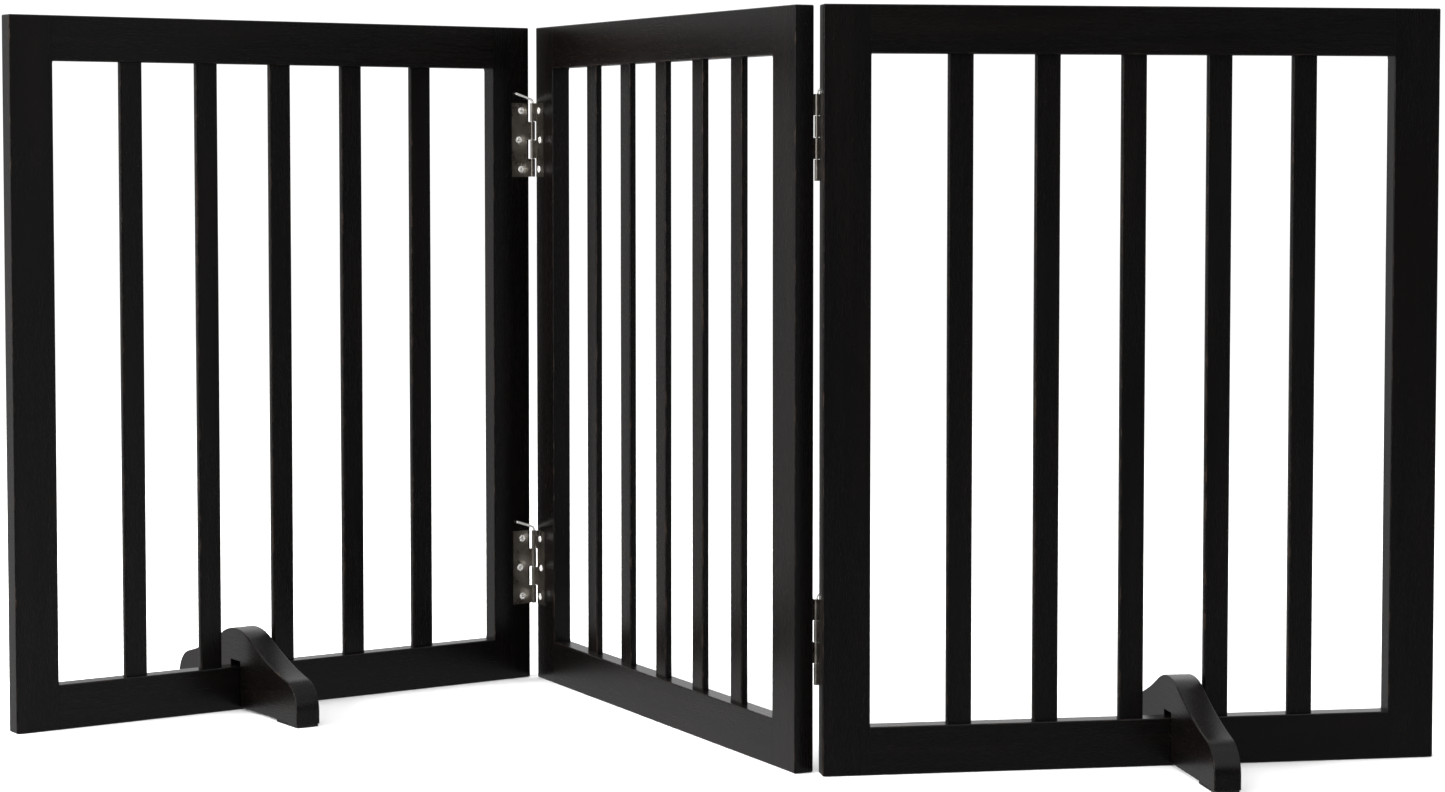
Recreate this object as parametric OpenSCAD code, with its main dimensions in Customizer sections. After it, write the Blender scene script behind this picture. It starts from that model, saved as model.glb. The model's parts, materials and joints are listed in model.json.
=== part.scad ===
// Free-standing folding pet gate: three slatted wooden panels in a zig-zag,
// joined by loose-pin butt hinges and steadied by two saddle feet.

/* [Panels] */
// Width of each panel
panel_width = 508; // [400:4:640]
// Height of each panel
panel_height = 610; // [450:5:900]
// Thickness of the frame of each panel
panel_thickness = 17; // [14:0.5:22]
// Width of each upright stile
stile_width = 38.5; // [30:0.5:50]
// Height of the top rail
top_rail_height = 38.5; // [30:0.5:50]
// Height of the bottom rail
bottom_rail_height = 38.5; // [30:0.5:50]

/* [Slats] */
// Number of slats in each panel
slat_count = 5; // [4:1:6]
// Width of each slat
slat_width = 20.5; // [16:0.5:26]
// Thickness of each slat
slat_thickness = 6.5; // [5:0.5:10]
// Clear gap between neighbouring slats
slat_gap = 50.5; // [40:0.5:62]
// Depth that each slat end sits in its rail
mortise_depth = 8; // [5:0.5:14]
// Clearance between a slat and each side of its mortise
mortise_clearance = 0.1; // [0.05:0.05:0.3]

/* [Dowels] */
// Diameter of the corner dowels
dowel_d = 6; // [5:0.5:8]
// Length of the corner dowels
dowel_length = 36; // [24:1:48]
// Distance between the two dowels of a corner
dowel_spacing = 18; // [12:1:20]

/* [Hinges] */
// Length of each hinge
hinge_length = 69; // [56:1:90]
// Distance from a panel's top or bottom to the near end of its hinge
hinge_inset = 70; // [40:1:120]
// Distance of a leaf's outer edge from the pin's axis
leaf_reach = 21.6; // [19:0.2:28]
// Distance of a leaf's notched inner edge from the pin's axis
notch_reach = 5.5; // [4:0.1:8]
// Thickness of the leaf metal
leaf_thickness = 1.1; // [0.9:0.1:1.3]
// Gap between the left and middle panels' edges when they stand in line
left_edge_gap = 5.8; // [3:0.2:10]
// Gap between the middle and right panels' edges when they stand in line
right_edge_gap = 2.6; // [2.2:0.2:10]
// Distance of the pin's axis in front of the wood's face
axis_standoff = 2.1; // [1.9:0.1:2.7]
// Number of knuckles in each barrel
knuckle_count = 4; // [4:1:5]
// Gap between neighbouring knuckles
knuckle_gap = 0.4; // [0.2:0.1:0.8]

/* [Hinge pins] */
// Diameter of the loose pin
pin_d = 2.1; // [1.8:0.1:2.4]
// Radial running clearance between the pin and the knuckles
pin_clearance = 0.06; // [0.04:0.01:0.1]
// Length of the straight part of the pin's handle
handle_length = 17; // [10:1:24]
// Angle of the handle above the horizontal
handle_rise = 18; // [5:1:40]
// Centre-line radius of the pin's bend
bend_r = 3.5; // [2.5:0.5:6]
// Height of the start of the bend above the top knuckle
bend_start = 0.3; // [0.1:0.1:2]
// Swelling of the wire where its bend starts and ends
bend_swell = 0.03; // [0.02:0.01:0.1]
// Distance that the pin's tip stays inside the lowest knuckle
tip_recess = 0.5; // [0:0.5:3]

/* [Screws] */
// Diameter of the screw shank
screw_d = 3; // [2.5:0.1:3.5]
// Diameter of the countersunk head
screw_head_d = 6.5; // [5:0.1:7]
// Height that the head stands proud of the leaf
screw_proud = 0.1; // [0:0.05:0.2]
// Length of the screw below the leaf
screw_grip = 11; // [8:0.5:12]
// Distance of the end screws from the ends of the leaf
screw_end_inset = 7.3; // [5:0.1:10]
// Distance of the end screws from the pin's axis
screw_reach = 11.8; // [10:0.2:13]
// Extra distance of the middle screw from the pin's axis
screw_stagger = 2.4; // [0:0.2:3]

/* [Feet] */
// Length of a foot, front to back
foot_length = 240; // [180:5:300]
// Thickness of a foot
foot_thickness = 22; // [16:1:26]
// Height of the top of a foot above the floor
foot_height = 71.5; // [60:0.5:90]
// Radius of the rounded top of a foot
foot_top_r = 62; // [50:1:70]
// Radius of the hollow slope of a foot
foot_slope_r = 300; // [200:10:400]
// Radius of the rounded shoulder at each end of a foot
foot_shoulder_r = 26; // [20:1:32]
// Height of the foot's straight end above the floor
foot_end_height = 13; // [8:0.5:16]
// Clearance between the foot's slot and each face of the rail
slot_clearance = 1; // [0.5:0.1:2]
// Height of the slot's top above the bottom rail
slot_headroom = 4.3; // [2:0.1:8]
// Distance of the left foot from the middle of its gap
left_foot_offset = 0; // [-8:1:8]
// Distance of the right foot from the middle of its gap
right_foot_offset = 7; // [-8:1:8]

/* [Foot pads] */
// Length of each rubber pad
pad_length = 40; // [20:1:60]
// Width of each rubber pad
pad_width = 21; // [10:1:22]
// Thickness of each rubber pad
pad_thickness = 2.3; // [1.5:0.1:4]
// Distance of a pad from the end of its foot
pad_inset = 1; // [0:0.5:5]

/* [Pose] */
// Angle between the left and middle panels, on the front side
fold_left = 82.5; // [30:0.1:180]
// Angle between the middle and right panels, on the rear side
fold_right = 108; // [30:0.1:180]

/* [Hidden] */
$fn = 64;
// Amount that a cutter runs past the face it cuts
over = 1;

LEFT = 0;
MIDDLE = 1;
RIGHT = 2;
PANELS = ["left", "middle", "right"];
// Each hinge: its name, the outer panel it holds, and its level (1 is upper)
HINGES = [["upper_left", LEFT, 1], ["lower_left", LEFT, 0],
          ["upper_right", RIGHT, 1], ["lower_right", RIGHT, 0]];

WOOD = [0.10, 0.075, 0.07];
DOWEL_WOOD = [0.72, 0.56, 0.38];
NICKEL = [0.62, 0.60, 0.56];
STEEL = [0.78, 0.78, 0.78];
RUBBER = [0.03, 0.03, 0.03];

// Panel sizes that follow from the driving ones
opening_width = panel_width - 2 * stile_width;
opening_height = panel_height - top_rail_height - bottom_rail_height;
slat_pitch = slat_width + slat_gap;
slat_length = opening_height + 2 * mortise_depth;
function slat_x(i) = panel_width / 2 + (i - (slat_count - 1) / 2) * slat_pitch;
function gap_x(i) = (slat_x(i) + slat_x(i + 1)) / 2;

// Hinge sizes that follow
edge_offsets = [left_edge_gap / 2, 0, right_edge_gap / 2];
pin_r = pin_d / 2;
bore_r = pin_r + pin_clearance;
knuckle_r = bore_r + leaf_thickness;
knuckle_pitch = hinge_length / knuckle_count;
knuckle_height = knuckle_pitch - knuckle_gap;
screw_xs = [screw_reach, screw_reach + screw_stagger, screw_reach];
screw_zs = [screw_end_inset, hinge_length / 2, hinge_length - screw_end_inset];
function hinge_z(level) = level == 1 ? panel_height - hinge_inset - hinge_length : hinge_inset;

// The zig-zag: panel headings and corners, with the free ends in line along X
function turn(p, a) = [p.x * cos(a) - p.y * sin(a), p.x * sin(a) + p.y * cos(a)];
// Hinge axes in the middle panel's frame, and in the outer panels' own frames
left_axis = [-edge_offsets[LEFT], -axis_standoff];
right_axis = [panel_width + edge_offsets[RIGHT], panel_thickness + axis_standoff];
left_axis_on_left = [panel_width + edge_offsets[LEFT], -axis_standoff];
right_axis_on_right = [-edge_offsets[RIGHT], panel_thickness + axis_standoff];
free_left_0 = left_axis - turn(left_axis_on_left, 180 - fold_left);
free_right_0 = right_axis + turn([panel_width, 0] - right_axis_on_right, 180 - fold_right);
span_0 = free_right_0 - free_left_0;
middle_heading = -atan2(span_0.y, span_0.x);
headings = [middle_heading + 180 - fold_left, middle_heading, middle_heading + 180 - fold_right];
corners_0 = [turn(left_axis, headings[MIDDLE]) - turn(left_axis_on_left, headings[LEFT]),
             [0, 0],
             turn(right_axis, headings[MIDDLE]) - turn(right_axis_on_right, headings[RIGHT])];

// Feet: the left one stands between slats 2 and 3, the right one between slats 3 and 4
foot_x = [gap_x(1) + left_foot_offset, 0, gap_x(2) + right_foot_offset];
foot_y = panel_thickness / 2;
foot_half = foot_length / 2;

// Outline corners seen from above, used to centre the gate on its origin
panel_rect = [for (x = [0, panel_width]) for (y = [0, panel_thickness]) [x, y]];
function foot_rect(p) = [for (x = [-1, 1]) for (y = [-1, 1])
    [foot_x[p] + x * foot_thickness / 2, foot_y + y * foot_half]];
plan_points = concat(
    [for (p = [LEFT, MIDDLE, RIGHT]) for (c = panel_rect) corners_0[p] + turn(c, headings[p])],
    [for (p = [LEFT, RIGHT]) for (c = foot_rect(p)) corners_0[p] + turn(c, headings[p])]);
plan_xs = [for (c = plan_points) c.x];
plan_ys = [for (c = plan_points) c.y];
plan_centre = [min(plan_xs) + max(plan_xs), min(plan_ys) + max(plan_ys)] / 2;
corners = [for (c = corners_0) c - plan_centre];

// Puts a shape drawn in a panel's own frame (x along it, y through it) in place
module on_panel(p) {
    translate([corners[p].x, corners[p].y, 0]) rotate([0, 0, headings[p]]) children();
}

// A hinge axis in its panel's frame: x runs along the leaf, y points into the wood
module on_axis(p, side, level) {
    at_left_edge = (p == MIDDLE) == (side == LEFT);
    axis_x = at_left_edge ? -edge_offsets[side] : panel_width + edge_offsets[side];
    axis_y = side == LEFT ? -axis_standoff : panel_thickness + axis_standoff;
    translate([axis_x, axis_y, hinge_z(level)])
        scale([at_left_edge ? 1 : -1, side == LEFT ? 1 : -1, 1])
            children();
}

// ---- Wood ----

module dowel_set() {
    for (x = [stile_width, panel_width - stile_width])
        for (rail_z = [bottom_rail_height / 2, panel_height - top_rail_height / 2])
            for (side = [-1, 1])
                translate([x - dowel_length / 2, panel_thickness / 2, rail_z + side * dowel_spacing / 2])
                    rotate([0, 90, 0])
                        cylinder(d = dowel_d, h = dowel_length);
}

module screw_hole_row() {
    for (i = [0 : 2])
        translate([screw_xs[i], axis_standoff, screw_zs[i]])
            rotate([-90, 0, 0])
                cylinder(d = screw_d, h = screw_grip);
}

module stile(p, at_left_edge) {
    x = at_left_edge ? 0 : panel_width - stile_width;
    color(WOOD) on_panel(p) difference() {
        translate([x, 0, 0]) cube([stile_width, panel_thickness, panel_height]);
        dowel_set();
        for (side = [LEFT, RIGHT])
            if ((p == MIDDLE || p == side) && at_left_edge == ((p == MIDDLE) == (side == LEFT)))
                for (level = [0, 1]) on_axis(p, side, level) screw_hole_row();
    }
}

module mortise_row(z) {
    for (i = [0 : slat_count - 1])
        translate([slat_x(i) - slat_width / 2 - mortise_clearance,
                   (panel_thickness - slat_thickness) / 2 - mortise_clearance, z])
            cube([slat_width + 2 * mortise_clearance,
                  slat_thickness + 2 * mortise_clearance, mortise_depth + over]);
}

module rail(p, z, height, mortise_z) {
    color(WOOD) on_panel(p) difference() {
        translate([stile_width, 0, z]) cube([opening_width, panel_thickness, height]);
        dowel_set();
        mortise_row(mortise_z);
    }
}

module top_rail(p) {
    z = panel_height - top_rail_height;
    rail(p, z, top_rail_height, z - over);
}

module bottom_rail(p) {
    rail(p, 0, bottom_rail_height, bottom_rail_height - mortise_depth);
}

module slat(p, i) {
    color(WOOD) on_panel(p)
        translate([slat_x(i) - slat_width / 2, (panel_thickness - slat_thickness) / 2,
                   bottom_rail_height - mortise_depth])
            cube([slat_width, slat_thickness, slat_length]);
}

module dowels(p) {
    color(DOWEL_WOOD) on_panel(p) dowel_set();
}

// ---- Hinges ----

// Knuckles are counted from the top; the middle panel's leaf has the first
function is_own(i, owner) = i % 2 == (owner == MIDDLE ? 0 : 1);

module each_knuckle(owner) {
    for (i = [0 : knuckle_count - 1])
        if (is_own(i, owner))
            translate([0, 0, hinge_length - (i + 1) * knuckle_pitch + knuckle_gap / 2])
                children();
}

module leaf(owner) {
    y = axis_standoff - leaf_thickness;
    difference() {
        union() {
            translate([notch_reach, y, 0])
                cube([leaf_reach - notch_reach, leaf_thickness, hinge_length]);
            each_knuckle(owner) {
                translate([0, y, 0]) cube([notch_reach + over, leaf_thickness, knuckle_height]);
                cylinder(r = knuckle_r, h = knuckle_height);
            }
        }
        translate([0, 0, -over]) cylinder(r = bore_r, h = hinge_length + 2 * over);
        screw_row();
    }
}

// A countersunk screw along y, with its head in the leaf's outer face
module screw_solid() {
    head_y = axis_standoff - leaf_thickness;
    rotate([-90, 0, 0]) {
        translate([0, 0, head_y])
            cylinder(d1 = screw_head_d, d2 = screw_d, h = leaf_thickness);
        translate([0, 0, head_y - screw_proud]) cylinder(d = screw_head_d, h = screw_proud);
        translate([0, 0, axis_standoff]) cylinder(d = screw_d, h = screw_grip);
    }
}

module screw_row() {
    for (i = [0 : 2]) translate([screw_xs[i], 0, screw_zs[i]]) screw_solid();
}

module hinge_leaf(p, side, level) {
    color(NICKEL) on_panel(p) on_axis(p, side, level) leaf(p);
}

module hinge_screws(p, side, level) {
    color(STEEL) on_panel(p) on_axis(p, side, level) screw_row();
}

// A straight rod up the barrel, bent over into a handle
module hinge_pin(side, level) {
    bend = 90 - handle_rise;
    rod_top = [0, 0, hinge_length + bend_start];
    bend_centre = rod_top + [bend_r, 0, 0];
    handle_start = bend_centre + bend_r * [-cos(bend), 0, sin(bend)];
    color(STEEL) on_panel(side) on_axis(side, side, level) {
        translate([0, 0, tip_recess]) cylinder(r = pin_r, h = rod_top.z - tip_recess);
        translate(bend_centre) rotate([90, 0, 0]) rotate([0, 0, 180 - bend])
            rotate_extrude(angle = bend) translate([bend_r, 0]) circle(r = pin_r);
        translate(handle_start) rotate([0, bend, 0]) cylinder(r = pin_r, h = handle_length);
        for (p = [rod_top, handle_start]) translate(p) sphere(r = pin_r + bend_swell);
    }
}

// ---- Feet ----

// Where the hollow slope's circle touches both the top's circle and the shoulder's
top_c = [0, foot_height - foot_top_r];
shoulder_c = [foot_half - foot_shoulder_r, foot_end_height];
centre_gap = norm(shoulder_c - top_c);
reach_top = foot_top_r + foot_slope_r;
reach_shoulder = foot_shoulder_r + foot_slope_r;
along = (centre_gap ^ 2 + reach_top ^ 2 - reach_shoulder ^ 2) / (2 * centre_gap);
across = sqrt(reach_top ^ 2 - along ^ 2);
toward = (shoulder_c - top_c) / centre_gap;
slope_c = top_c + along * toward + across * [-toward.y, toward.x];

// Points along an arc, without its first one
function arc(c, r, from, to, steps) =
    [for (i = [1 : steps]) let (a = from + (to - from) * i / steps) c + r * [cos(a), sin(a)]];
function heading_of(v) = atan2(v.y, v.x);

// Half of the foot's outline, from the top of the hump to the floor end
half_outline = concat(
    [[0, foot_height]],
    arc(top_c, foot_top_r, 90, heading_of(slope_c - top_c), 12),
    arc(slope_c, foot_slope_r, heading_of(top_c - slope_c), heading_of(shoulder_c - slope_c), 12),
    arc(shoulder_c, foot_shoulder_r, heading_of(slope_c - shoulder_c), 0, 12),
    [[foot_half, pad_thickness]]);

mirrored_outline =
    [for (i = [len(half_outline) - 1 : -1 : 1]) [-half_outline[i].x, half_outline[i].y]];

module foot_profile() {
    slot_half = panel_thickness / 2 + slot_clearance;
    slot_top = bottom_rail_height + slot_headroom;
    difference() {
        polygon(concat(half_outline, mirrored_outline));
        translate([-slot_half, -over]) square([2 * slot_half, slot_top + over]);
    }
}

module foot(p) {
    color(WOOD) on_panel(p) translate([foot_x[p] - foot_thickness / 2, foot_y, 0])
        rotate([90, 0, 90]) linear_extrude(foot_thickness) foot_profile();
}

module foot_pad(p, side) {
    color(RUBBER) on_panel(p)
        translate([foot_x[p], foot_y + side * (foot_half - pad_inset - pad_length / 2),
                   pad_thickness / 2])
            cube([pad_width, pad_length, pad_thickness], center = true);
}

// ---- Nodes ----

for (p = [LEFT, MIDDLE, RIGHT]) {
    prefix = str(PANELS[p], "_panel_");
    stile(p, true);
    stile(p, false);
    top_rail(p);
    bottom_rail(p);
    dowels(p);
    for (i = [0 : slat_count - 1])
        slat(p, i);
}

for (h = HINGES) {
    prefix = str(h[0], "_hinge_");
    hinge_leaf(h[1], h[1], h[2]);
    hinge_leaf(MIDDLE, h[1], h[2]);
    hinge_screws(h[1], h[1], h[2]);
    hinge_screws(MIDDLE, h[1], h[2]);
    hinge_pin(h[1], h[2]);
}

for (p = [LEFT, RIGHT]) {
    prefix = str(PANELS[p], "_");
    foot(p);
    foot_pad(p, -1);
    foot_pad(p, 1);
}
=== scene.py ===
"""Looks of the folding pet gate: lacquered wooden panels, rolled steel hinges and saddle feet."""

import json
import math
import random

import bmesh
import bpy
from mathutils import Matrix, Vector


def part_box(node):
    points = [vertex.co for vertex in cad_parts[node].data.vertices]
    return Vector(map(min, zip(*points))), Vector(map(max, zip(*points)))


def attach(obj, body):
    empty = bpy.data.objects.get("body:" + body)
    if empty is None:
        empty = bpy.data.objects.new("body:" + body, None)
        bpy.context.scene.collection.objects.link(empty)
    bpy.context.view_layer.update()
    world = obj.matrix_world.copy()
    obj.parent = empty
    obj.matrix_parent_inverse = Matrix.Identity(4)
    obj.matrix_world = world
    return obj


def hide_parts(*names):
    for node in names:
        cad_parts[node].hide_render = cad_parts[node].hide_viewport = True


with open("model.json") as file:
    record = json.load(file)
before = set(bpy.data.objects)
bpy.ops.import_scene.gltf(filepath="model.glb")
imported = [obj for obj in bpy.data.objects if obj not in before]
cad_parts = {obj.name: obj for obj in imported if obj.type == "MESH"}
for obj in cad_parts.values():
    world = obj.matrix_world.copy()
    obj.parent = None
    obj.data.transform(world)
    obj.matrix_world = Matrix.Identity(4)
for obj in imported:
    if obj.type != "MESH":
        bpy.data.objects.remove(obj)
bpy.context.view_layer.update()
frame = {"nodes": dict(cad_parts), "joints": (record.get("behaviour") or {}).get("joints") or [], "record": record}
rng = random.Random(11)

MM = 0.001

# ---- Sizes that the frame doesn't hold, in metres ----

# Wood: rounding of the arrises, and of the hairline where two members meet
arris = 1.2 * MM
hairline = 0.12 * MM
slat_arris = 1.8 * MM
arris_run_out = 2.5 * MM
foot_arris = 1.3 * MM
foot_slot_arris = 0.6 * MM
joint_clearance = 0.12 * MM

# Foot outline: radii of the hump, the hollow slope and the shoulder
foot_top_r = 62 * MM
foot_slope_r = 300 * MM
foot_shoulder_r = 26 * MM
foot_end_height = 13 * MM
foot_rounding_steps = 6
slot_clearance = 1 * MM
slot_headroom = 4.3 * MM

# Dowels
dowel_r = 3 * MM
dowel_flutes = 12
dowel_flute_depth = 0.25 * MM
dowel_chamfer = 1 * MM
dowel_spacing = 18 * MM

# Hinges
leaf_thickness = 1.1 * MM
knuckle_count = 4
knuckle_gap = 0.4 * MM
notch_reach = 5.5 * MM
roll_slit = 5
roll_steps = 44
metal_bevel = 0.26 * MM
pin_r = 1.05 * MM
pin_clearance = 0.06 * MM
pin_bend_r = 3.5 * MM
pin_rise = 18
pin_bend_steps = 10
pin_tip = 0.35 * MM

# Screws
screw_head_r = 3.2 * MM
screw_seat_r = 3.4 * MM
screw_shank_r = 1.5 * MM
screw_root_r = 1.1 * MM
screw_crown = 0.1 * MM
screw_dome = 0.75 * MM
screw_reach = 11.8 * MM
screw_stagger = 2.4 * MM
screw_end_inset = 7.3 * MM
screw_grip = 11 * MM
thread_pitch = 1.4 * MM
thread_start = 0.12 * screw_grip
thread_end = 0.85 * screw_grip
thread_run = 0.72 * screw_grip
thread_steps = 44
recess_depth = 1.7 * MM
recess_reach = 2.1 * MM
recess_width = 1.25 * MM

# Pads
pad_corner_r = 2 * MM
pad_round = 0.5 * MM
pad_round_steps = 3

# ---- Camera, floor and light ----

# The camera's place in the middle panel's own frame, its turn from that frame in degrees, its
# downward pitch in radians, and its lens, sensor and vertical shift
camera_at = (2.6240, -1.1483, 0.4927)
camera_turn = 62.875
camera_pitch = 0.04917
camera_lens = 76.072
camera_sensor = 36
camera_shift = -0.0637
camera_reach = 100

floor_reach = 14
floor_z = -0.3 * MM
floor_albedo = 0.95

white_strength = 1.12
# The room seen in reflections: height from 0 (straight down) to 1 (straight up), colour
ROOM = (
    (0.38, (0.12, 0.12, 0.124)),
    (0.46, (0.05, 0.05, 0.052)),
    (0.52, (0.015, 0.015, 0.016)),
    (0.62, (0.05, 0.05, 0.05)),
    (0.72, (0.45, 0.45, 0.45)),
    (1.0, (0.4, 0.4, 0.4)),
)
# Light panels seen in reflections: axis, angles of the core and the rim in degrees, strength
STUDIO_GLOWS = (
    ((-0.885, 0.466, 0), 12, 48, 0.29),
    ((1, -0.08, -0.12), 10, 50, 0.11),
    ((0, 0.97, 0.22), 10, 27, 0.6),
    ((-0.68, -0.70, 0.22), 6, 20, 2.0),
)
# Lights that reflections don't show: name, place, aim, side, power in watts
SOFTBOXES = (
    ("top_softbox", (0.0, 0.2, 2.6), (0, 0, 0.2), 3.2, 45),
    ("left_softbox", (-2.6, -0.9, 1.0), (0, 0, 0.3), 2.0, 320),
)

# ---- Names ----

PANELS = ("left", "middle", "right")
SIDES = ("left", "right")
RAILS = ("top", "bottom")
LEVELS = ("upper", "lower")
SLATS = range(1, 6)
bodies = frame["record"]["behaviour"]["bodies"]
body_of = {node: body for body, nodes in bodies.items() for node in nodes}


# ---- Places ----

def local_box(node, place):
    """Lowest and highest corner of a CAD node in a panel's own frame."""
    back = place.inverted()
    points = [back @ v.co for v in frame["nodes"][node].data.vertices]
    low = Vector([round(min(p[i] for p in points), 5) for i in range(3)])
    high = Vector([round(max(p[i] for p in points), 5) for i in range(3)])
    return low, high


def panel_place(panel):
    """The panel's own frame: origin at its front left foot, x along it, y through it."""
    ends = [sum(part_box(f"{panel}_panel_{side}_stile"), Vector()) / 2 for side in SIDES]
    along = ends[1] - ends[0]
    turn = Matrix.Rotation(math.atan2(along.y, along.x), 4, "Z")
    corner, _ = local_box(f"{panel}_panel_left_stile", turn)
    return Matrix.Translation(turn @ corner) @ turn


place = {panel: panel_place(panel) for panel in PANELS}
stile_width, thickness, panel_height = local_box("middle_panel_left_stile", place["middle"])[1]
panel_width = local_box("middle_panel_right_stile", place["middle"])[1].x
rail_height = local_box("middle_panel_bottom_rail", place["middle"])[1].z
fold_axis = {joint["name"].removeprefix("fold_"): Vector(joint["pos_m"])
             for joint in frame["joints"] if joint["name"].startswith("fold_")}


# ---- Mesh tools ----

def arc(cx, cy, r, start, end, steps):
    """Points along an arc from one angle to the other, in degrees, both ends included."""
    angles = [math.radians(start + (end - start) * i / steps) for i in range(steps + 1)]
    return [(cx + r * math.cos(a), cy + r * math.sin(a)) for a in angles]


def loft(bm, rings):
    """Skins closed rings of points and caps both ends."""
    rows = [[bm.verts.new(p) for p in ring] for ring in rings]
    count = len(rows[0])
    for low, high in zip(rows, rows[1:]):
        for i in range(count):
            bm.faces.new((low[i], low[(i + 1) % count], high[(i + 1) % count], high[i]))
    bm.faces.new(rows[0][::-1])
    bm.faces.new(rows[-1])


def clean(bm):
    bmesh.ops.remove_doubles(bm, verts=bm.verts, dist=0.002 * MM)
    bmesh.ops.dissolve_degenerate(bm, edges=bm.edges, dist=0.001 * MM)
    bmesh.ops.recalc_face_normals(bm, faces=bm.faces)


def new_object(name, bm, matrix):
    clean(bm)
    mesh = bpy.data.meshes.new(name)
    bm.to_mesh(mesh)
    bm.free()
    obj = bpy.data.objects.new(name, mesh)
    obj.matrix_world = matrix
    bpy.context.scene.collection.objects.link(obj)
    return obj


def bake_modifiers(obj):
    """Replaces the object's mesh by what its modifiers make of it."""
    bpy.context.view_layer.update()
    depsgraph = bpy.context.evaluated_depsgraph_get()
    mesh = bpy.data.meshes.new_from_object(obj.evaluated_get(depsgraph), depsgraph=depsgraph)
    old = obj.data
    obj.modifiers.clear()
    obj.data = mesh
    bpy.data.meshes.remove(old)


def carve(obj, cutter_bm):
    """Cuts the shapes of a bmesh, drawn in the object's own frame, out of the object."""
    cutter = new_object(obj.name + "_cutter", cutter_bm, obj.matrix_world)
    modifier = obj.modifiers.new("carve", "BOOLEAN")
    modifier.operation = "DIFFERENCE"
    modifier.solver = "EXACT"
    modifier.object = cutter
    bake_modifiers(obj)
    mesh = cutter.data
    bpy.data.objects.remove(cutter)
    bpy.data.meshes.remove(mesh)


def shade(obj, sharp_angle=32):
    """Smooth shading inside edges that stay sharp, with flat faces kept flat."""
    bm = bmesh.new()
    bm.from_mesh(obj.data)
    clean(bm)
    for face in bm.faces:
        face.smooth = True
    limit = math.radians(sharp_angle)
    for edge in bm.edges:
        edge.smooth = len(edge.link_faces) == 2 and edge.calc_face_angle(0) < limit
    bm.to_mesh(obj.data)
    bm.free()
    modifier = obj.modifiers.new("normals", "WEIGHTED_NORMAL")
    modifier.keep_sharp = True
    bake_modifiers(obj)


def soften_edges(obj, width, angle=40):
    modifier = obj.modifiers.new("bevel", "BEVEL")
    modifier.width = width
    modifier.segments = 2
    modifier.limit_method = "ANGLE"
    modifier.angle_limit = math.radians(angle)
    modifier.use_clamp_overlap = True
    bake_modifiers(obj)


def block(bm, low, high):
    (x0, y0, z0), (x1, y1, z1) = low, high
    base = ((x0, y0), (x1, y0), (x1, y1), (x0, y1))
    loft(bm, [[Vector((x, y, z)) for x, y in base] for z in (z0, z1)])


def turned(bm, profile, matrix, count=24, wave=None):
    """A closed solid of revolution about z from (radius, height) points, put through a matrix."""
    rings = []
    for r, z in profile:
        ring = []
        for i in range(count):
            a = 2 * math.pi * i / count
            reach = max(r + (wave(a, z, r) if wave else 0), 0.01 * MM)
            ring.append(matrix @ Vector((reach * math.cos(a), reach * math.sin(a), z)))
        rings.append(ring)
    loft(bm, rings)


# ---- Materials ----

def material(name):
    mat = bpy.data.materials.new(name)
    mat.use_nodes = True
    return mat, mat.node_tree.nodes, mat.node_tree.links, mat.node_tree.nodes["Principled BSDF"]


def scaled(nodes, links, source, scale):
    node = nodes.new("ShaderNodeVectorMath")
    node.operation = "MULTIPLY"
    links.new(source, node.inputs[0])
    node.inputs[1].default_value = scale
    return node.outputs[0]


def noise(nodes, links, source, scale, detail=4, roughness=0.55):
    """Noise over coordinates that are stretched by a scale for each axis, in cycles a metre."""
    node = nodes.new("ShaderNodeTexNoise")
    node.inputs["Scale"].default_value = 1
    node.inputs["Detail"].default_value = detail
    node.inputs["Roughness"].default_value = roughness
    links.new(scaled(nodes, links, source, scale), node.inputs["Vector"])
    return node.outputs["Fac"]


def ramp(nodes, links, source, stops):
    node = nodes.new("ShaderNodeValToRGB")
    first, last = node.color_ramp.elements
    for element, (position, colour) in zip((first, last), (stops[0], stops[-1])):
        element.position = position
        element.color = (*colour, 1)
    for position, colour in stops[1:-1]:
        node.color_ramp.elements.new(position).color = (*colour, 1)
    links.new(source, node.inputs[0])
    return node.outputs[0]


def mapped(nodes, links, source, low, high, from_low=0.0, from_high=1.0):
    node = nodes.new("ShaderNodeMapRange")
    for name, value in (("From Min", from_low), ("From Max", from_high),
                        ("To Min", low), ("To Max", high)):
        node.inputs[name].default_value = value
    links.new(source, node.inputs["Value"])
    return node.outputs[0]


def math_node(nodes, links, operation, a, b):
    node = nodes.new("ShaderNodeMath")
    node.operation = operation
    for socket, value in zip(node.inputs, (a, b)):
        if isinstance(value, (int, float)):
            socket.default_value = value
        else:
            links.new(value, socket)
    return node.outputs[0]


def mix_colour(nodes, links, fac, a, b):
    node = nodes.new("ShaderNodeMix")
    node.data_type = "RGBA"
    links.new(fac, node.inputs["Factor"])
    for name, value in (("A", a), ("B", b)):
        socket = [s for s in node.inputs if s.name == name and s.type == "RGBA"][0]
        if isinstance(value, tuple):
            socket.default_value = (*value, 1)
        else:
            links.new(value, socket)
    return [s for s in node.outputs if s.type == "RGBA"][0]


def bump(nodes, links, layers, bsdf):
    """Adds bump layers, each a (height, distance in metres, strength), to a shader."""
    normal = None
    for height, distance, strength in layers:
        node = nodes.new("ShaderNodeBump")
        node.inputs["Distance"].default_value = distance
        node.inputs["Strength"].default_value = strength
        links.new(height, node.inputs["Height"])
        if normal is not None:
            links.new(normal, node.inputs["Normal"])
        normal = node.outputs[0]
    links.new(normal, bsdf.inputs["Normal"])


def attribute(nodes, name, output):
    node = nodes.new("ShaderNodeAttribute")
    node.attribute_name = name
    return node.outputs[output]


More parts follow.
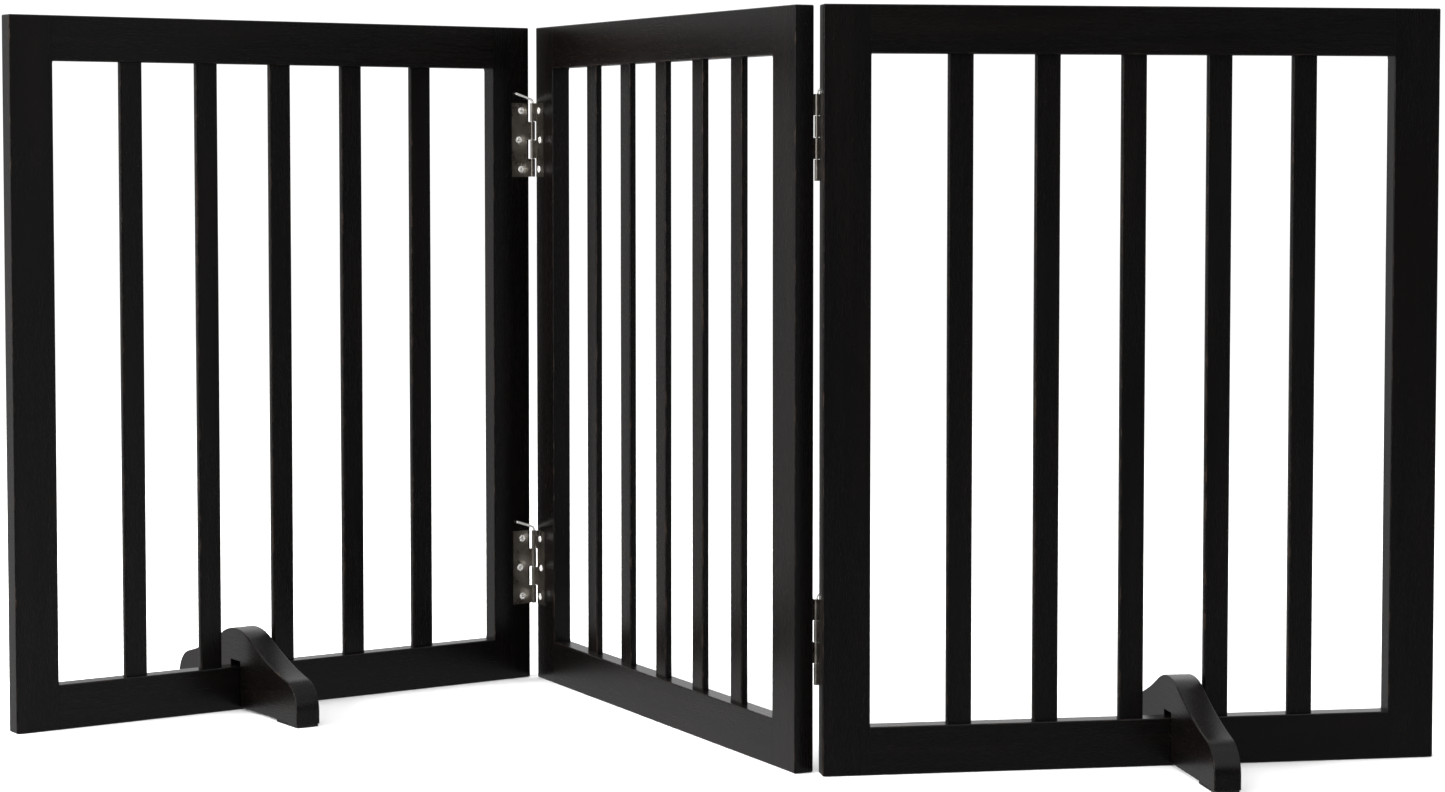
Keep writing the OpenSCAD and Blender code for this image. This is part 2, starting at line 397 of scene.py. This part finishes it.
def espresso_lacquer():
    """Satin lacquer over espresso-stained wood: faint streaks, filled pores and rubbed arrises."""
    mat, nodes, links, bsdf = material("espresso_lacquer")
    grain = attribute(nodes, "grain", "Vector")
    on_arris = attribute(nodes, "arris", "Fac")
    streaks = noise(nodes, links, grain, (5, 75, 75), 5)
    pores = noise(nodes, links, grain, (55, 1100, 1100), 3, 0.6)
    clouds = noise(nodes, links, grain, (4, 9, 9), 2)
    peel = noise(nodes, links, grain, (420, 420, 420), 2)
    rubs = noise(nodes, links, grain, (60, 260, 260), 4, 0.65)
    stain = ramp(nodes, links, streaks,
                 [(0.30, (0.0010, 0.0008, 0.0007)), (0.55, (0.0018, 0.0012, 0.0010)),
                  (0.75, (0.0028, 0.0017, 0.0013))])
    open_pores = mapped(nodes, links, pores, 0, 0.55, 0.58, 0.75)
    stain = mix_colour(nodes, links, open_pores, stain, (0.0007, 0.0006, 0.0006))
    rubbed = mapped(nodes, links, rubs, 0, 0.5, 0.52, 0.72)
    worn = math_node(nodes, links, "MULTIPLY", on_arris, rubbed)
    stain = mix_colour(nodes, links, worn, stain, (0.030, 0.016, 0.009))
    links.new(stain, bsdf.inputs["Base Color"])
    gloss = math_node(nodes, links, "ADD", mapped(nodes, links, clouds, 0.20, 0.30, 0.3, 0.7),
                      mapped(nodes, links, pores, -0.03, 0.06, 0.3, 0.7))
    gloss = math_node(nodes, links, "ADD", gloss, math_node(nodes, links, "MULTIPLY", worn, 0.15))
    links.new(gloss, bsdf.inputs["Roughness"])
    swell = noise(nodes, links, grain, (130, 130, 130), 2)
    waves = math_node(nodes, links, "MULTIPLY", on_arris, swell)
    layers = [(pores, 0.05 * MM, 0.35), (peel, 0.05 * MM, 0.25), (waves, 0.3 * MM, 0.4)]
    bump(nodes, links, layers, bsdf)
    bsdf.inputs["IOR"].default_value = 1.5
    bsdf.inputs["Coat Weight"].default_value = 0.25
    bsdf.inputs["Coat Roughness"].default_value = 0.24
    return mat


def dowel_beech():
    mat, nodes, links, bsdf = material("dowel_beech")
    grain = attribute(nodes, "grain", "Vector")
    streaks = noise(nodes, links, grain, (12, 320, 320), 5)
    flecks = noise(nodes, links, grain, (160, 1400, 1400), 3)
    colour = ramp(nodes, links, streaks, [(0.3, (0.46, 0.29, 0.16)), (0.75, (0.66, 0.47, 0.29))])
    colour = mix_colour(nodes, links, mapped(nodes, links, flecks, 0, 0.6, 0.6, 0.75), colour,
                        (0.30, 0.17, 0.09))
    links.new(colour, bsdf.inputs["Base Color"])
    links.new(mapped(nodes, links, streaks, 0.55, 0.75), bsdf.inputs["Roughness"])
    bump(nodes, links, [(flecks, 0.08 * MM, 0.4)], bsdf)
    return mat


def metal(name, dark, bright, rough, brush, bump_strength, metallic=1.0):
    """Plated steel: fine lines along the grain, faint stains and specks."""
    mat, nodes, links, bsdf = material(name)
    grain = attribute(nodes, "grain", "Vector")
    lines = noise(nodes, links, grain, brush, 4, 0.6)
    stains = noise(nodes, links, grain, (90, 90, 90), 4)
    specks = noise(nodes, links, grain, (1600, 1600, 1600), 2)
    tone = ramp(nodes, links, stains, [(0.3, dark), (0.7, bright)])
    tone = mix_colour(nodes, links, mapped(nodes, links, specks, 0, 0.4, 0.62, 0.8), tone,
                      tuple(0.45 * c for c in dark))
    links.new(tone, bsdf.inputs["Base Color"])
    gloss = math_node(nodes, links, "ADD", mapped(nodes, links, lines, *rough, 0.3, 0.7),
                      mapped(nodes, links, stains, -0.04, 0.08, 0.3, 0.7))
    links.new(gloss, bsdf.inputs["Roughness"])
    bump(nodes, links, [(lines, 0.03 * MM, bump_strength), (specks, 0.02 * MM, 0.2)], bsdf)
    bsdf.inputs["Metallic"].default_value = metallic
    return mat


def black_rubber():
    mat, nodes, links, bsdf = material("black_rubber")
    grain = attribute(nodes, "grain", "Vector")
    speckle = noise(nodes, links, grain, (900, 900, 900), 3)
    dust = noise(nodes, links, grain, (140, 140, 140), 4)
    tone = ramp(nodes, links, dust, [(0.35, (0.006, 0.006, 0.006)), (0.75, (0.016, 0.015, 0.014))])
    links.new(tone, bsdf.inputs["Base Color"])
    links.new(mapped(nodes, links, speckle, 0.62, 0.85, 0.3, 0.7), bsdf.inputs["Roughness"])
    bump(nodes, links, [(speckle, 0.08 * MM, 0.5)], bsdf)
    return mat


lacquer = espresso_lacquer()
beech = dowel_beech()
nickel = metal("satin_nickel", (0.46, 0.42, 0.37), (0.66, 0.61, 0.55), (0.24, 0.34),
               (40, 40, 2200), 0.25)
bright_steel = metal("bright_steel", (0.78, 0.77, 0.74), (0.90, 0.89, 0.87), (0.16, 0.26),
                     (700, 700, 700), 0.12, 0.45)
rubber = black_rubber()


# ---- Finishing a piece ----

def set_grain(obj, axis, arris_of=None):
    """Stores the coordinates that the materials read, with the grain along the first of them."""
    shift = Vector([rng.uniform(0, 5) for _ in range(3)])
    order = [axis] + [i for i in range(3) if i != axis]
    mesh = obj.data
    grain = [c for v in mesh.vertices for c in Vector([v.co[i] for i in order]) + shift]
    worn = [arris_of(v.co) if arris_of else 0.0 for v in mesh.vertices]
    mesh.attributes.new("grain", "FLOAT_VECTOR", "POINT").data.foreach_set("vector", grain)
    mesh.attributes.new("arris", "FLOAT", "POINT").data.foreach_set("value", worn)


def box_arris(low, high, reach):
    """1 where a point lies on the rounding of a box's edge, 0 on its flat faces."""
    def value(p):
        insets = [min(p[i] - low[i], high[i] - p[i]) for i in range(3)]
        near = [d for d in insets if 0.02 * MM < d < reach * 0.95]
        return 1.0 if len(near) >= 2 else 0.0
    return value


def finish_piece(obj, node, mat, grain_axis=2, arris_of=None, sharp_angle=32):
    shade(obj, sharp_angle)
    set_grain(obj, grain_axis, arris_of)
    obj.data.materials.clear()
    obj.data.materials.append(mat)
    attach(obj, body_of[node])
    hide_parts(node)


# ---- Wooden members ----

# A section's corners, by which end of each axis they lie at, and the steps in each rounding
CORNERS = ((0, 0), (1, 0), (1, 1), (0, 1))
ROUND_STEPS = 5


def section(sides, radii, inset=0.0, flush=()):
    """A rounded rectangle (u0, u1, v0, v1). Sides in flush aren't inset."""
    u0, u1, v0, v1 = [side + (0 if i in flush else sign * inset)
                      for i, (side, sign) in enumerate(zip(sides, (1, -1, 1, -1)))]
    points = []
    for k, (cu, cv) in enumerate(CORNERS):
        inner = cu in flush or cv + 2 in flush
        r = max(radii[k] - (0 if inner else inset), 0.0)
        at = (u0 + r if cu == 0 else u1 - r, v0 + r if cv == 0 else v1 - r)
        points += arc(*at, r, 180 + 90 * k, 270 + 90 * k, ROUND_STEPS)
    return points


def end_sections(sides, radii, r, flush=()):
    """(distance from the end, section) from the end face to where the rounding stops."""
    steps = ROUND_STEPS if r > 2 * hairline else 1
    turns = [math.pi / 2 * i / steps for i in range(steps + 1)]
    return [(r * (1 - math.cos(a)), section(sides, radii, r * (1 - math.sin(a)), flush))
            for a in turns]


dowel_low, _ = local_box("middle_panel_dowels", place["middle"])
dowel_half = stile_width - dowel_low.x


def dowel_places():
    """Matrices that lay a dowel, drawn along z about its middle, in each hole of a panel."""
    for x in (stile_width, panel_width - stile_width):
        for level in (rail_height / 2, panel_height - rail_height / 2):
            for side in (-0.5, 0.5):
                at = Vector((x, thickness / 2, level + side * dowel_spacing))
                yield Matrix.Translation(at) @ Matrix.Rotation(math.pi / 2, 4, "Y")


def dowel_cutters(bm):
    """The dowel holes of the panel's four corners."""
    half = dowel_half + joint_clearance
    r = dowel_r + joint_clearance / 2
    for lie in dowel_places():
        turned(bm, [(r, -half), (r, half)], lie)


def stile(panel, side):
    node = f"{panel}_panel_{side}_stile"
    low, high = local_box(node, place[panel])
    inner = 1 if side == "left" else 0
    sides = (low.x, high.x, low.y, high.y)
    jointed = [hairline if corner[0] == inner else arris for corner in CORNERS]
    stations = end_sections(sides, jointed, arris, flush=(inner,))
    stations.append((rail_height, section(sides, jointed)))
    stations.append((rail_height + arris_run_out, section(sides, [arris] * 4)))
    stations += [(panel_height - z, ring) for z, ring in reversed(stations)]
    bm = bmesh.new()
    loft(bm, [[Vector((u, v, z)) for u, v in ring] for z, ring in stations])
    obj = new_object(node + "_wood", bm, place[panel])
    holes = bmesh.new()
    dowel_cutters(holes)
    for fold in SIDES:
        if (panel == "middle" and fold == side) or (panel == fold and fold != side):
            for level in LEVELS:
                for at in screw_points(panel, fold, level):
                    turned(holes, [(screw_shank_r, -MM), (screw_shank_r, screw_grip)], at)
    carve(obj, holes)
    finish_piece(obj, node, lacquer, 2, box_arris(low, high, arris))


def rail(panel, level):
    node = f"{panel}_panel_{level}_rail"
    low, high = local_box(node, place[panel])
    sides = (low.y, high.y, low.z, high.z)
    stations = [(low.x + d, ring) for d, ring in end_sections(sides, [arris] * 4, hairline)]
    stations += [(high.x + low.x - x, ring) for x, ring in reversed(stations)]
    bm = bmesh.new()
    loft(bm, [[Vector((x, u, v)) for u, v in ring] for x, ring in stations])
    obj = new_object(node + "_wood", bm, place[panel])
    holes = bmesh.new()
    dowel_cutters(holes)
    for i in SLATS:
        slat_low, slat_high = local_box(f"{panel}_panel_slat_{i}", place[panel])
        room = Vector((joint_clearance, joint_clearance, 0))
        block(holes, slat_low - room, slat_high + room)
    carve(obj, holes)
    finish_piece(obj, node, lacquer, 0, box_arris(low, high, arris))


def slat(panel, i):
    node = f"{panel}_panel_slat_{i}"
    low, high = local_box(node, place[panel])
    ring = section((low.x, high.x, low.y, high.y), [slat_arris] * 4)
    bm = bmesh.new()
    loft(bm, [[Vector((u, v, z)) for u, v in ring] for z in (low.z, high.z)])
    obj = new_object(node + "_wood", bm, place[panel])
    finish_piece(obj, node, lacquer, 2, box_arris(low, high, slat_arris))


def dowels(panel):
    """Fluted dowels with chamfered ends."""
    node = f"{panel}_panel_dowels"
    rim = dowel_r - dowel_chamfer / 2
    profile = [(rim, -dowel_half), (dowel_r, dowel_chamfer - dowel_half),
               (dowel_r, dowel_half - dowel_chamfer), (rim, dowel_half)]

    def flute(angle, z, r):
        return -dowel_flute_depth * (0.5 - 0.5 * math.cos(dowel_flutes * angle))

    bm = bmesh.new()
    for lie in dowel_places():
        turned(bm, profile, lie, count=4 * dowel_flutes, wave=flute)
    obj = new_object(node + "_beech", bm, place[panel])
    finish_piece(obj, node, beech, 0)


# ---- Hinges ----

def hinge_side(panel):
    """The name of a hinge's half that is screwed to a panel."""
    return "middle" if panel == "middle" else "outer"


def axis_place(panel, fold, level):
    """A hinge's own frame inside a panel's frame: x along the leaf, y into the wood."""
    low, _ = local_box(f"{level}_{fold}_hinge_{hinge_side(panel)}_leaf", place[panel])
    at = place[panel].inverted() @ fold_axis[fold]
    along = 1 if at.x < panel_width / 2 else -1
    inward = 1 if at.y < thickness / 2 else -1
    return Matrix.Translation((at.x, at.y, low.z)) @ Matrix.Diagonal((along, inward, 1, 1))


hinge_low, hinge_high = local_box("upper_left_hinge_outer_leaf", place["left"])
hinge_length = hinge_high.z - hinge_low.z
left_axis = place["left"].inverted() @ fold_axis["left"]
axis_standoff = -left_axis.y
leaf_reach = left_axis.x - hinge_low.x
leaf_y = axis_standoff - leaf_thickness / 2
bore_r = pin_r + pin_clearance
roll_r = bore_r + leaf_thickness / 2
knuckle_pitch = hinge_length / knuckle_count


def screw_points(panel, fold, level):
    """Matrices that put a screw, drawn along z from its seat, into a leaf."""
    base = axis_place(panel, fold, level)
    face_out = Matrix.Rotation(-math.pi / 2, 4, "X")
    spots = ((screw_reach, screw_end_inset), (screw_reach + screw_stagger, hinge_length / 2),
             (screw_reach, hinge_length - screw_end_inset))
    return [base @ Matrix.Translation((x, axis_standoff, z)) @ face_out for x, z in spots]


def rolled_outline():
    """Section of a leaf: a flat strip that bends round the pin and stops at a slit."""
    faces = []
    for side in (-0.5, 0.5):
        y = leaf_y + side * leaf_thickness
        r = roll_r + side * leaf_thickness
        meet = math.degrees(math.asin(min(1, y / r)))
        faces.append([(leaf_reach, y)] + arc(0, 0, r, meet, 360 + roll_slit, roll_steps))
    return faces[0] + faces[1][::-1]


def leaf(panel, fold, level):
    """A rolled strip, cut back between its own knuckles and countersunk for three screws."""
    kind = hinge_side(panel)
    node = f"{level}_{fold}_hinge_{kind}_leaf"
    base = axis_place(panel, fold, level)
    outline = rolled_outline()
    bm = bmesh.new()
    loft(bm, [[base @ Vector((x, y, z)) for x, y in outline] for z in (0, hinge_length)])
    obj = new_object(node + "_metal", bm, place[panel])
    notches = bmesh.new()
    barrel = roll_r + leaf_thickness
    own = range(0 if kind == "middle" else 1, knuckle_count, 2)
    solid = [(hinge_length - (i + 1) * knuckle_pitch + knuckle_gap / 2,
              hinge_length - i * knuckle_pitch - knuckle_gap / 2) for i in reversed(own)]
    edges = [-knuckle_gap] + [z for span in solid for z in span] + [hinge_length + knuckle_gap]
    for low, high in zip(edges[::2], edges[1::2]):
        corners = [base @ Vector(c) for c in ((-barrel, -barrel, low), (notch_reach, barrel, high))]
        block(notches, [min(c[k] for c in corners) for k in range(3)],
              [max(c[k] for c in corners) for k in range(3)])
    slope = (screw_seat_r - screw_shank_r) / leaf_thickness
    below, above = 0.2 * MM, 0.5 * MM
    seat = [(screw_shank_r - slope * below, below),
            (screw_seat_r + slope * above, -leaf_thickness - above)]
    for at in screw_points(panel, fold, level):
        turned(notches, seat, at, count=32)
    carve(obj, notches)
    soften_edges(obj, metal_bevel)
    finish_piece(obj, node, nickel, 2, sharp_angle=38)


def pin(fold, level):
    """A round rod up the barrel, bent over into a handle."""
    node = f"{level}_{fold}_hinge_pin"
    base = axis_place(fold, fold, level)
    low, high = local_box(node, place[fold])
    bottom = low.z - base.translation.z
    bend = math.radians(90 - pin_rise)
    bend_z = high.z - base.translation.z - pin_r * math.cos(math.radians(pin_rise))
    reach = max(abs(low.x - base.translation.x), abs(high.x - base.translation.x))
    reach -= pin_r * math.sin(math.radians(pin_rise))
    handle = (reach - pin_bend_r * (1 - math.cos(bend))) / math.sin(bend)
    rod_top = bend_z - pin_bend_r * math.sin(bend) - handle * math.cos(bend)
    # Each stop on the rod's path: place, lean, radius
    stops = [(Vector((0, 0, bottom)), 0, pin_r - pin_tip),
             (Vector((0, 0, bottom + pin_tip)), 0, pin_r), (Vector((0, 0, rod_top)), 0, pin_r)]
    for i in range(1, pin_bend_steps + 1):
        a = bend * i / pin_bend_steps
        at = Vector((pin_bend_r * (1 - math.cos(a)), 0, rod_top + pin_bend_r * math.sin(a)))
        stops.append((at, a, pin_r))
    start = stops[-1][0]
    out = Vector((math.sin(bend), 0, math.cos(bend)))
    stops += [(start + out * (handle - pin_tip), bend, pin_r),
              (start + out * handle, bend, pin_r - pin_tip)]
    rings = []
    for at, lean, r in stops:
        tilt = Matrix.Rotation(lean, 4, "Y")
        ring = arc(0, 0, r, 0, 337.5, 15)
        rings.append([base @ (at + tilt @ Vector((x, y, 0))) for x, y in ring])
    bm = bmesh.new()
    loft(bm, rings)
    obj = new_object(node + "_steel", bm, place[fold])
    finish_piece(obj, node, bright_steel, 2, sharp_angle=40)


def screw_mesh():
    """One screw along z, seat at 0: raised countersunk head, cross recess and thread."""
    head_top = -leaf_thickness
    crown = head_top - screw_crown - screw_dome
    bm = bmesh.new()
    dome = [(x, head_top - screw_crown - y * screw_dome / screw_head_r)
            for x, y in arc(0, 0, screw_head_r, 90, 0, 6)]
    shank = [(screw_shank_r, thread_start + thread_run * i / thread_steps)
             for i in range(thread_steps + 1)]
    profile = dome + [(screw_head_r, head_top + 0.05 * MM), (screw_shank_r, 0)]
    profile += shank + [(0.1 * MM, screw_grip)]

    def thread(angle, z, r):
        if not thread_start <= z <= thread_end or r != screw_shank_r:
            return 0
        turn = (z / thread_pitch + angle / (2 * math.pi)) % 1
        return -(screw_shank_r - screw_root_r) * min(1, abs(turn - 0.5) * 4)

    turned(bm, profile, Matrix.Identity(4), wave=thread)
    screw = new_object("screw_pattern", bm, Matrix.Identity(4))
    # The recess: height, half length and width at its mouth and its floor
    levels = ((crown - 0.2 * MM, recess_reach, recess_width),
              (crown + recess_depth, 0.35 * recess_reach, 0.7 * recess_width))
    for angle in (0, math.pi / 2):
        turn = Matrix.Rotation(angle, 4, "Z")
        wing = bmesh.new()
        loft(wing, [[turn @ Vector((x * reach, y * width / 2, z))
                     for x, y in ((-1, -1), (1, -1), (1, 1), (-1, 1))]
                    for z, reach, width in levels])
        carve(screw, wing)
    mesh = screw.data.copy()
    bpy.data.objects.remove(screw)
    return mesh


def screws(panel, fold, level, pattern):
    """A leaf's three screws, each stopped at its own angle."""
    node = f"{level}_{fold}_hinge_{hinge_side(panel)}_screws"
    bm = bmesh.new()
    for at in screw_points(panel, fold, level):
        copy = pattern.copy()
        copy.transform(at @ Matrix.Rotation(rng.uniform(0, math.pi / 2), 4, "Z"))
        bm.from_mesh(copy)
        bpy.data.meshes.remove(copy)
    obj = new_object(node + "_steel", bm, place[panel])
    finish_piece(obj, node, bright_steel, 1, sharp_angle=30)


# ---- Feet ----

def inset_outline(outline, amounts):
    """Moves each edge of a closed outline inwards by its own amount."""
    count = len(outline)
    normals = []
    for i in range(count):
        edge = Vector(outline[(i + 1) % count]) - Vector(outline[i])
        normals.append(Vector((edge.y, -edge.x)).normalized())
    points = []
    for i in range(count):
        n0, n1 = normals[i - 1], normals[i]
        a0, a1 = amounts[i - 1], amounts[i]
        cross = n0.x * n1.y - n0.y * n1.x
        if abs(cross) < 0.02:
            move = -(n0 + n1).normalized() * (a0 + a1) / 2
        else:
            move = Vector(((-a0 * n1.y + a1 * n0.y) / cross, (a0 * n1.x - a1 * n0.x) / cross))
        points.append(Vector(outline[i]) + move)
    return points


def foot_outline(half, base_z, top_z):
    """The foot's outline, anticlockwise, and for each of its edges whether it is underneath."""
    top_c = Vector((0, top_z - foot_top_r))
    end_c = Vector((half - foot_shoulder_r, foot_end_height))
    gap = (end_c - top_c).length
    reach_top = foot_top_r + foot_slope_r
    reach_end = foot_shoulder_r + foot_slope_r
    along = (gap ** 2 + reach_top ** 2 - reach_end ** 2) / (2 * gap)
    across = math.sqrt(reach_top ** 2 - along ** 2)
    toward = (end_c - top_c) / gap
    slope_c = top_c + along * toward + across * Vector((-toward.y, toward.x))

    def heading(v):
        return math.degrees(math.atan2(v.y, v.x))

    right = arc(*end_c, foot_shoulder_r, 0, heading(slope_c - end_c), 14)
    right += arc(*slope_c, foot_slope_r, heading(end_c - slope_c), heading(top_c - slope_c), 16)[1:]
    right += arc(*top_c, foot_top_r, heading(slope_c - top_c), 90, 16)[1:]
    left = [(-y, z) for y, z in right[-2::-1]]
    slot_half = thickness / 2 + slot_clearance
    slot_top = rail_height + slot_headroom
    under = [(-half, base_z), (-slot_half, base_z), (-slot_half, slot_top), (slot_half, slot_top),
             (slot_half, base_z), (half, base_z)]
    outline = right + left + under
    arch = len(right) + len(left)
    return outline, [arch <= i < len(outline) - 1 for i in range(len(outline))]


def foot(panel):
    node = f"{panel}_foot"
    low, high = local_box(node, place[panel])
    middle_y = (low.y + high.y) / 2
    outline, fine = foot_outline((high.y - low.y) / 2, low.z, high.z)
    radii = [foot_slot_arris if f else foot_arris for f in fine]
    turns = [math.pi / 2 * i / foot_rounding_steps for i in range(foot_rounding_steps + 1)]
    depths = sorted({round(r * (1 - math.cos(a)), 8)
                     for r in (foot_arris, foot_slot_arris) for a in turns})
    rings = []
    for d in depths:
        amounts = [r - math.sqrt(r * r - (r - d) ** 2) if d < r else 0 for r in radii]
        rings.append((low.x + d, inset_outline(outline, amounts)))
    rings += [(low.x + high.x - x, ring) for x, ring in reversed(rings)]
    bm = bmesh.new()
    loft(bm, [[Vector((x, p.x + middle_y, p.y)) for p in ring] for x, ring in rings])
    obj = new_object(node + "_wood", bm, place[panel])

    def rounding(p):
        d = min(p.x - low.x, high.x - p.x)
        return 1.0 if 0.05 * MM < d < foot_arris * 0.9 else 0.0

    finish_piece(obj, node, lacquer, 1, rounding)


def foot_pad(panel, end):
    node = f"{panel}_foot_{end}_pad"
    low, high = local_box(node, place[panel])
    sides = (low.x, high.x, low.y, high.y)
    rings = []
    for i in range(pad_round_steps + 1):
        a = math.pi / 2 * i / pad_round_steps
        rings.append((low.z + pad_round * (1 - math.cos(a)),
                      section(sides, [pad_corner_r] * 4, pad_round * (1 - math.sin(a)))))
    rings.append((high.z, section(sides, [pad_corner_r] * 4)))
    bm = bmesh.new()
    loft(bm, [[Vector((u, v, z)) for u, v in ring] for z, ring in rings])
    obj = new_object(node + "_rubber", bm, place[panel])
    finish_piece(obj, node, rubber)


# ---- The gate ----

def build():
    for panel in PANELS:
        for side in SIDES:
            stile(panel, side)
        for level in RAILS:
            rail(panel, level)
        for i in SLATS:
            slat(panel, i)
        dowels(panel)
    pattern = screw_mesh()
    for fold in SIDES:
        for level in LEVELS:
            for panel in (fold, "middle"):
                leaf(panel, fold, level)
                screws(panel, fold, level, pattern)
            pin(fold, level)
        foot(fold)
        for end in ("front", "rear"):
            foot_pad(fold, end)
    bpy.data.meshes.remove(pattern)


# ---- The studio ----

def add_camera():
    """The photograph's view: a long lens a little below the gate's top."""
    turn = place["middle"].to_euler().z + math.radians(camera_turn)
    camera = bpy.data.objects.new("camera", bpy.data.cameras.new("camera"))
    camera.data.sensor_width = camera_sensor
    camera.data.lens = camera_lens
    camera.data.shift_y = camera_shift
    camera.data.clip_end = camera_reach
    camera.location = place["middle"] @ Vector(camera_at)
    camera.rotation_euler = (math.pi / 2 - camera_pitch, 0, turn)
    bpy.context.scene.collection.objects.link(camera)
    bpy.context.scene.camera = camera


def add_floor():
    bm = bmesh.new()
    corners = ((-1, -1), (1, -1), (1, 1), (-1, 1))
    bm.faces.new([bm.verts.new((x * floor_reach, y * floor_reach, floor_z)) for x, y in corners])
    floor = new_object("studio_floor", bm, Matrix.Identity(4))
    mat, _, _, bsdf = material("studio_floor")
    bsdf.inputs["Base Color"].default_value = (floor_albedo, floor_albedo, floor_albedo, 1)
    bsdf.inputs["Roughness"].default_value = 0.9
    bsdf.inputs["Specular IOR Level"].default_value = 0
    floor.data.materials.append(mat)
    floor.visible_glossy = False


def add_softbox(name, location, target, side, energy):
    light = bpy.data.lights.new(name, "AREA")
    light.shape = "RECTANGLE"
    light.size = light.size_y = side
    light.energy = energy
    obj = bpy.data.objects.new(name, light)
    obj.location = location
    obj.rotation_euler = (Vector(target) - Vector(location)).to_track_quat("-Z", "Y").to_euler()
    obj.visible_camera = False
    obj.visible_glossy = False
    bpy.context.scene.collection.objects.link(obj)


def add_world():
    """A white studio for the eye, and in reflections a dim room with a few bright panels."""
    world = bpy.data.worlds.new("studio")
    world.use_nodes = True
    bpy.context.scene.world = world
    nodes, links = world.node_tree.nodes, world.node_tree.links
    nodes.clear()
    direction = nodes.new("ShaderNodeTexCoord").outputs["Generated"]

    def facing(axis):
        """Cosine of the angle between the direction and an axis."""
        node = nodes.new("ShaderNodeVectorMath")
        node.operation = "DOT_PRODUCT"
        links.new(direction, node.inputs[0])
        node.inputs[1].default_value = Vector(axis).normalized()
        return node.outputs["Value"]

    def glow(axis, inner, outer, strength):
        """A soft-edged round panel of light, with the angles of its core and its rim."""
        node = nodes.new("ShaderNodeMapRange")
        node.interpolation_type = "SMOOTHSTEP"
        for name, value in (("From Min", math.cos(math.radians(outer))),
                            ("From Max", math.cos(math.radians(inner))), ("To Max", strength)):
            node.inputs[name].default_value = value
        links.new(facing(axis), node.inputs["Value"])
        return node.outputs[0]

    height = mapped(nodes, links, facing((0, 0, 1)), 0, 1, -1, 1)
    room = ramp(nodes, links, height, ROOM)
    for panel in STUDIO_GLOWS:
        room = math_node(nodes, links, "ADD", room, glow(*panel))
    studio = nodes.new("ShaderNodeBackground")
    links.new(room, studio.inputs["Color"])
    white = nodes.new("ShaderNodeBackground")
    white.inputs["Color"].default_value = (1, 1, 1, 1)
    white.inputs["Strength"].default_value = white_strength
    switch = nodes.new("ShaderNodeMixShader")
    links.new(nodes.new("ShaderNodeLightPath").outputs["Is Glossy Ray"], switch.inputs[0])
    links.new(white.outputs[0], switch.inputs[1])
    links.new(studio.outputs[0], switch.inputs[2])
    links.new(switch.outputs[0], nodes.new("ShaderNodeOutputWorld").inputs["Surface"])


add_camera()
build()
add_floor()
add_world()
for softbox in SOFTBOXES:
    add_softbox(*softbox)
bpy.context.scene.view_settings.view_transform = "Standard"
